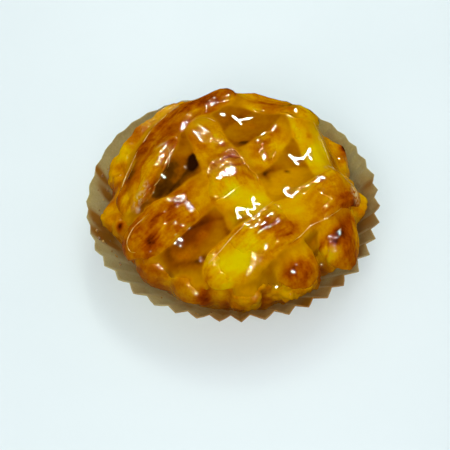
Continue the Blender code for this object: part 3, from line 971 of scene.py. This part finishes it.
points = places(glaze)
deep = on_grid(softened(depth, 2), points)
note(glaze, "browned_and_shaded", on_grid(softened(brown_below, 2), points))
dough = on_grid(softened(dough_below, 3), points)
note(glaze, "hidden", eased(deep / (FRUIT_HIDDEN + (DOUGH_HIDDEN - FRUIT_HIDDEN) * dough)))
clouds = 0.07 * bumps(points, 2.6 * MM, 51) + 0.04 * bumps(points, 1.1 * MM, 52)
note(glaze, "tone_and_shade", 0.15 + 0.4 * np.clip(deep / AMBER_DEPTH, 0, 1) + clouds + spots(points, TONE_AND_SHADE_MARKS))
note(glaze, "red", spots(points, RED_MARKS))
note(glaze, "film_sheen", torn(points) * spots(points, sum(FILM_SHEEN_MARKS.values(), [])))
note(glaze, "matt", spots(points, MATT_MARKS))
for fruit in slices:  # where a slice stands out of the glaze, it is still wet with it
    points = places(fruit)
    note(fruit, "hidden", np.full(len(points), 0.8))
    note(fruit, "tone_and_shade", 0.2 + 0.12 * bumps(points, 3 * MM, 7) + spots(points, TONE_AND_SHADE_MARKS))
    note(fruit, "red", spots(points, RED_MARKS))
print("deepest point under the glaze in mm:", round(deep.max() / MM, 1))

# %% The finish of the set glaze
glaze_finish, tree, shader = new_finish("set_apricot_glaze", GLAZED)
below, where = baked_colour(tree)
tone_and_shade = add_node(tree, "Attribute", {"attribute_name": "tone_and_shade"})
red = add_node(tree, "Attribute", {"attribute_name": "red"})
hidden = add_node(tree, "Attribute", {"attribute_name": "hidden"})
golden_amber = add_node(
    tree,
    "ValToRGB",
    inputs={"Fac": tone_and_shade.outputs["Fac"]},
    stops=[
        (0.0, "#c99600"),
        (0.25, "#b97d00"),
        (0.45, "#9f6500"),
        (0.65, "#8a4a00"),
        (0.82, "#4f2a02"),
        (1.0, "#1f0c02"),
    ],
)
red_amber = add_node(
    tree,
    "ValToRGB",
    inputs={"Fac": tone_and_shade.outputs["Fac"]},
    stops=[(0.0, "#b86c00"), (0.3, "#934b00"), (0.6, "#7d3600"), (1.0, "#2a1003")],
)
amber = add_node(
    tree,
    "Mix",
    {"data_type": "RGBA"},
    {"Factor": red.outputs["Fac"], "A": golden_amber.outputs["Color"], "B": red_amber.outputs["Color"]},
)
seen = add_node(
    tree,
    "Mix",
    {"data_type": "RGBA"},
    {"Factor": hidden.outputs["Fac"], "A": below, "B": amber.outputs["Result"]},
)
# the pale sheen on the dried film, painted
film_sheen = add_node(tree, "Attribute", {"attribute_name": "film_sheen"})
veiled = add_node(
    tree,
    "Mix",
    {"data_type": "RGBA"},
    {"Factor": film_sheen.outputs["Fac"], "A": seen.outputs["Result"], "B": linear(FILM_SHEEN_COLOUR)},
)
tree.links.new(veiled.outputs["Result"], shader.inputs["Base Color"])
rippled_coat(tree, shader, where, *RIPPLES)
coat_where_wet(tree, shader)
for piece in [glaze, *slices]:
    piece.data.materials.append(glaze_finish)
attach(glaze, "root")
print("glazed:", 1 + len(slices), "pieces")

# %% [markdown]
# ## Thin edges of glaze
#
# Where the glaze has drawn back as it set, it leaves a thin raised edge. On the pale kind, the line of
# light that the edge catches is painted into its colour as a highlight. Each one is drawn in plan with a few
# points, made into a smooth curve, and laid on whatever it crosses.


# %% Where the edges run
def curve_through(route, count):
    """That many points on a smooth curve through a route in plan, made of one cubic for each stretch."""
    route = np.array(route, float)
    route = np.vstack([2 * route[0] - route[1], route, 2 * route[-1] - route[-2]])
    found = []
    for share in np.linspace(0, len(route) - 3 - 1e-6, count):  # the last point is still in a stretch
        k = int(share)
        t = share - k
        a, b, c, d = route[k : k + 4]
        found.append(b + 0.5 * t * (c - a + t * (2 * a - 5 * b + 4 * c - d + t * (3 * b - a - 3 * c + d))))
    return np.array(found) * MM


# the pale kind's colour is a painted highlight along the raised edge
GOLDEN, PALE_HIGHLIGHT = 0, 1
GLAZE_EDGES = {  # the kind, and the way in plan, in mm
    "outer side of the left strip": (
        PALE_HIGHLIGHT,
        [
            (-41, -9), (-41, -1.5), (-39, 6.8), (-36.4, 12),
            (-31.5, 22.8), (-27.1, 28.6), (-22, 33.4), (-12.7, 37.6),
        ],
    ),
    "inner side of the left strip": (
        GOLDEN,
        [(-25.6, 9.6), (-23.6, 8), (-23, 4), (-24, -1), (-27.4, -5.4), (-31.1, -9.8), (-34, -12.6)],
    ),
    "right strip": (PALE_HIGHLIGHT, [(30.5, 24.6), (32.4, 22), (34.4, 16), (35.6, 11), (36.6, 4)]),
    "right end of the front strip": (
        PALE_HIGHLIGHT,
        [(36.2, 0.8), (39.6, 3.2), (43, 2.6), (45.2, -0.6), (45.8, -6)],
    ),
    "left end of the middle strip": (
        PALE_HIGHLIGHT,
        [(-28.6, -16.8), (-33.7, -20), (-36.6, -23.9), (-37.4, -27), (-36, -30.2), (-33.6, -31.6)],
    ),
    "lower side of the front strip": (
        GOLDEN,
        [(20.4, -32.4), (24, -28.4), (28.5, -23), (35.1, -19), (40, -13.8)],
    ),
    "upper side of the front strip": (
        GOLDEN,
        [(-8.6, -38.8), (-5.7, -36), (-1.2, -31.6), (2.9, -28.2), (5.7, -24.8), (10.7, -19.5), (15.4, -14.1)],
    ),
    "top of the centre strip": (GOLDEN, [(-18.6, 18.1), (-16.1, 22.7), (-10.5, 25.7), (-6.3, 24.4)]),
}
print("glaze edges:", len(GLAZE_EDGES))

# %% Lay the edges on the tart
EDGE_RADIUS = 0.15 * MM
EDGE_POINTS = 48
TAPER = 6  # points over which each end runs out

graph = fresh_graph()
lines = bpy.data.curves.new("glaze_edges", "CURVE")
lines.dimensions = "3D"
lines.bevel_depth = EDGE_RADIUS
lines.bevel_resolution = 1
lines.use_fill_caps = True
for count, (kind, route) in enumerate(GLAZE_EDGES.values()):
    path = curve_through(route, EDGE_POINTS)
    heights = np.zeros(EDGE_POINTS)
    for k, (x, y) in enumerate(path):
        hit, place, *_ = look_down(graph, x, y)
        heights[k] = place.z if hit else 0
    padded = np.pad(heights, 2, mode="edge")
    heights = sum(padded[k : k + EDGE_POINTS] for k in range(5)) / 5
    spline = lines.splines.new("POLY")
    spline.material_index = kind
    spline.points.add(EDGE_POINTS - 1)
    flow = bumps(np.column_stack([path, heights]), 5 * MM, 40 + count)
    for k, point in enumerate(spline.points):
        ending = min(1, k / TAPER, (EDGE_POINTS - 1 - k) / TAPER)
        point.co = (*path[k], heights[k], 1)
        point.radius = ending * float(np.clip(0.75 + 0.9 * flow[k], 0.15, 1.3))
drawn = add_object("glaze_edges", lines)
edges_mesh = bpy.data.meshes.new_from_object(drawn.evaluated_get(fresh_graph()))
edges_mesh.materials.clear()
bpy.data.objects.remove(drawn)
glaze_edges = add_object("glaze_edges", edges_mesh)
print("glaze_edges", len(edges_mesh.polygons), "faces")

# %% Two finishes for the edges
EDGE_COLOURS = [  # one for each kind: its name, and a darker and a lighter tone
    ("golden_glaze_edge", "#b98a1c", "#d6ae4a"),
    # the pale one paints the highlight that the raised edge catches
    ("glaze_edge_painted_highlight", "#c8984c", "#e6c896"),
]
CLOUD = 2 * MM  # from one pale patch to the next
SMOOTH_SUGAR = {"Roughness": 0.25, "Coat Weight": 0.6, "Coat Roughness": 0.03}
for name, dark, light in EDGE_COLOURS:
    edge_finish, tree, shader = new_finish(name, SMOOTH_SUGAR)
    where = add_node(tree, "TexCoord")
    cloud = add_node(
        tree, "TexNoise", inputs={"Vector": where.outputs["Object"], "Scale": 1 / CLOUD, "Detail": 2}
    )
    shade = add_node(
        tree, "ValToRGB", inputs={"Fac": cloud.outputs["Fac"]}, stops=[(0.35, dark), (0.65, light)]
    )
    tree.links.new(shade.outputs["Color"], shader.inputs["Base Color"])
    glaze_edges.data.materials.append(edge_finish)
glaze_edges.data.shade_smooth()
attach(glaze_edges, "root")
print("edge finishes:", len(EDGE_COLOURS))

# %% [markdown]
# ## The baking paper
#
# The case is brown greaseproof paper, pressed into pleats by a machine and then crumpled by hands. Butter
# has soaked into it in patches, which turns it darker and a little clear. The solid has the pleats
# already. Each of its faces is cut into smaller ones, its folds are eased, and both sides of the paper
# crinkle together, so it stays as thin.

# %% Ease the paper's folds
CUTS = 4  # through each face, both ways
paper = add_object("pleated_paper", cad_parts["paper_case"].data.copy())
work = bmesh.new()
work.from_mesh(paper.data)
bmesh.ops.remove_doubles(work, verts=work.verts, dist=0.01 * MM)
bmesh.ops.subdivide_edges(work, edges=work.edges, cuts=CUTS, use_grid_fill=True)
bmesh.ops.smooth_vert(work, verts=work.verts, factor=0.25, use_axis_x=True, use_axis_y=True, use_axis_z=True)
work.to_mesh(paper.data)
work.free()
print("pleated_paper", len(paper.data.polygons), "faces")

# %% Press and crinkle it
CASE_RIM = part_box("paper_case")[1].z
LEVEL_STEP = 0.8 * MM  # the pleats' mean reach is taken level by level
PRESSED_ABOVE = 9 * MM
CRINKLE_REACH = 45 * MM  # the crinkles are worked out on a plain round wall of about the case's size
PRESSED = [(160, 0.5), (45, 0.5)]  # where handling has pressed its pleats, in degrees, and by what share

points = places(paper)
reach = np.hypot(points[:, 0], points[:, 1])
level = np.round(points[:, 2] / LEVEL_STEP).astype(int).clip(0, None)
mean_reach = np.bincount(level, reach) / np.maximum(np.bincount(level), 1)
bearing = np.arctan2(points[:, 1], points[:, 0])
pressed = sum(share * eased(1.6 * np.cos(bearing - math.radians(at)) - 0.6) for at, share in PRESSED)
pressed = pressed * eased((points[:, 2] - PRESSED_ABOVE) / (9 * MM))
drawn_in = 1 + (mean_reach[level] / np.maximum(reach, MM) - 1) * pressed
points *= np.column_stack([drawn_in, drawn_in, np.ones(len(points))])
flat = points * (1, 1, 0)
outwards = flat / np.maximum(np.linalg.norm(flat, axis=1), MM)[:, None]
share_of_height = np.clip(points[:, 2] / CASE_RIM, 0, 1)
angle = np.arctan2(points[:, 1], points[:, 0])
on_wall = np.column_stack([np.cos(angle), np.sin(angle), points[:, 2] / CRINKLE_REACH]) * CRINKLE_REACH
crinkle = 0.35 * bumps(on_wall, 6 * MM, 21) + 0.12 * bumps(on_wall, 2 * MM, 22)
put(paper, points + outwards * (crinkle * share_of_height * MM)[:, None])
print("paper's rim in mm:", round(places(paper)[:, 2].max() / MM, 1))

# %% Let the butter soak in, and paint the shade under the crust
GREASE_MARKS = [  # where butter has soaked in
    (-49, -8.8, 2.2, 2, 2.4, -36), (-47, -15.5, 2.2, 2, 2.6, -15), (-46, -9, 4, 0.5),
    (-50.5, 13, 1.6, 1.8, 2, -40), (-48, 7, 1.8, 1.8, 1.8, -30), (52, -10, 18, 0.55), (30, -45, 16, 0.8),
    (0, -54, 18, 1.0), (52, 8, 2.4, 0.8), (50, 0, 2, 0.5), (50, -8, 3, 0.5), (45, -22, 4, 0.5),
    (28, -46, 6, 0.5), (38, -36, 4, 0.6), (8, -52, 8, 0.25), (-16, -50, 7, 0.25), (-32, -42, 5, 0.3),
]
CRUST_REACH = 46 * MM  # the crust lies on the paper inside this

points = places(paper)
inside = (facings(paper) * outwards).sum(1) < 0
# butter and painted shade: the paper is darker where the crust's edge lies on it and overhangs it
butter_and_shade_under_crust = 0.35 * np.clip((CRUST_REACH - np.hypot(points[:, 0], points[:, 1])) / (3 * MM), 0, 1)
butter_and_shade_under_crust *= np.where(inside, 1, 0.25)  # most of the butter, and most of the painted shade, is on the inside
wicked = spots(points, GREASE_MARKS)
wicked *= np.where(inside & (points[:, 1] < -25 * MM), 0.8, 1)
note(paper, "grease_and_shade", wicked + butter_and_shade_under_crust + 0.25 * bumps(points, 5 * MM, 31))
print("grease marks:", len(GREASE_MARKS))

# %% The finish of the paper
FIBRES = 0.8 * MM  # real ones are finer, but they wouldn't show
# butter-soaked brown, also used for the painted shade under the crust
SOAKED_AND_SHADED_COLOUR = "#805410"
THIN_PAPER = {
    "Roughness": 0.55,
    "Specular IOR Level": 0.1,  # paper is matt, and butter adds only a little shine
    "Subsurface Weight": 0.6,  # light comes through it
    "Subsurface Radius": (1.0, 0.75, 0.4),
    "Subsurface Scale": 1.2 * MM,
}
paper_finish, tree, shader = new_finish("brown_greaseproof_paper", THIN_PAPER)
soaked_and_shaded = add_node(tree, "Attribute", {"attribute_name": "grease_and_shade"})
where = add_node(tree, "TexCoord")
fibres = add_node(
    tree,
    "TexNoise",
    inputs={"Vector": where.outputs["Object"], "Scale": 1 / FIBRES, "Detail": 5, "Roughness": 0.7},
)
dry = add_node(
    tree, "ValToRGB", inputs={"Fac": fibres.outputs["Fac"]}, stops=[(0.3, "#8f8556"), (0.7, "#a2986c")]
)
seen = add_node(
    tree,
    "Mix",
    {"data_type": "RGBA"},
    {"Factor": soaked_and_shaded.outputs["Fac"], "A": dry.outputs["Color"], "B": linear(SOAKED_AND_SHADED_COLOUR)},
)
relief = add_node(
    tree, "Bump", inputs={"Strength": 0.3, "Distance": 0.2 * MM, "Height": fibres.outputs["Fac"]}
)
tree.links.new(seen.outputs["Result"], shader.inputs["Base Color"])
tree.links.new(relief.outputs["Normal"], shader.inputs["Normal"])
paper.data.materials.clear()
paper.data.materials.append(paper_finish)
for polygon in paper.data.polygons:
    polygon.material_index = 0
paper.data.shade_smooth()
paper.data.set_sharp_from_angle(angle=math.radians(40))
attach(paper, "root")
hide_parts("paper_case")
print("finish:", paper_finish.name)

# %% [markdown]
# ## Crumbs on the paper
#
# Crumbs break off the rim as the case is handled, and stay on the oily paper. Each is a small rough lump,
# larger ones being rare, and a ray from above finds the paper under it. They are one mesh, because nobody
# moves a crumb alone.

# %% Scatter crumbs
CRUMB_PLACES = [  # middle and spread in degrees round the case, and how many
    (168, 18, 14),
    (200, 14, 12),
    (2, 12, 12),
    (-50, 30, 5),
    (-100, 40, 4),
    (80, 40, 6),
]
CRUMB_REACH = (47, 52.5)  # from the middle of the case, in mm
SMALLEST, EXTRA = 0.28 * MM, 0.5 * MM  # a crumb's radius, and what the largest has more

draw = np.random.default_rng(5)
graph = fresh_graph()
heap = bmesh.new()
for middle, spread_round, count in CRUMB_PLACES:
    for _ in range(count):
        turn = math.radians(draw.normal(middle, spread_round / 2))
        out = draw.uniform(*CRUMB_REACH) * MM
        size = SMALLEST + EXTRA * draw.random() ** 3
        hit, place, _, thing = look_down(graph, out * math.cos(turn), out * math.sin(turn))
        if not hit or thing.name != "pleated_paper":
            continue
        crumb = bmesh.ops.create_icosphere(heap, subdivisions=2, radius=size)["verts"]
        stretch = Vector(draw.uniform(0.7, 1.3, 3))
        for point in crumb:
            rough = 1 + 0.6 * noise.noise(point.co / size * 1.5 + place / MM)
            lump = Vector(a * b for a, b in zip(point.co * rough, stretch))
            point.co = place + lump + Vector((0, 0, size / 2))
crumbs_mesh = bpy.data.meshes.new("crumbs")
heap.to_mesh(crumbs_mesh)
heap.free()
crumbs_mesh.shade_smooth()
crumbs = add_object("crumbs", crumbs_mesh)
print("crumbs", len(crumbs_mesh.polygons), "faces")

# %% The finish of the crumbs
TOASTED = 1.5 * MM  # from a dark place to a pale one
crumb_finish, tree, shader = new_finish("toasted_crumbs", {"Roughness": 0.6})  # dry, so without any glaze
where = add_node(tree, "TexCoord")
toasting = add_node(tree, "TexNoise", inputs={"Vector": where.outputs["Object"], "Scale": 1 / TOASTED})
shade = add_node(
    tree,
    "ValToRGB",
    inputs={"Fac": toasting.outputs["Fac"]},
    stops=[(0.35, "#5e3606"), (0.5, "#8c5a0a"), (0.65, "#b58a1c")],
)
tree.links.new(shade.outputs["Color"], shader.inputs["Base Color"])
crumbs_mesh.materials.append(crumb_finish)
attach(crumbs, "root")
print("finish:", crumb_finish.name)
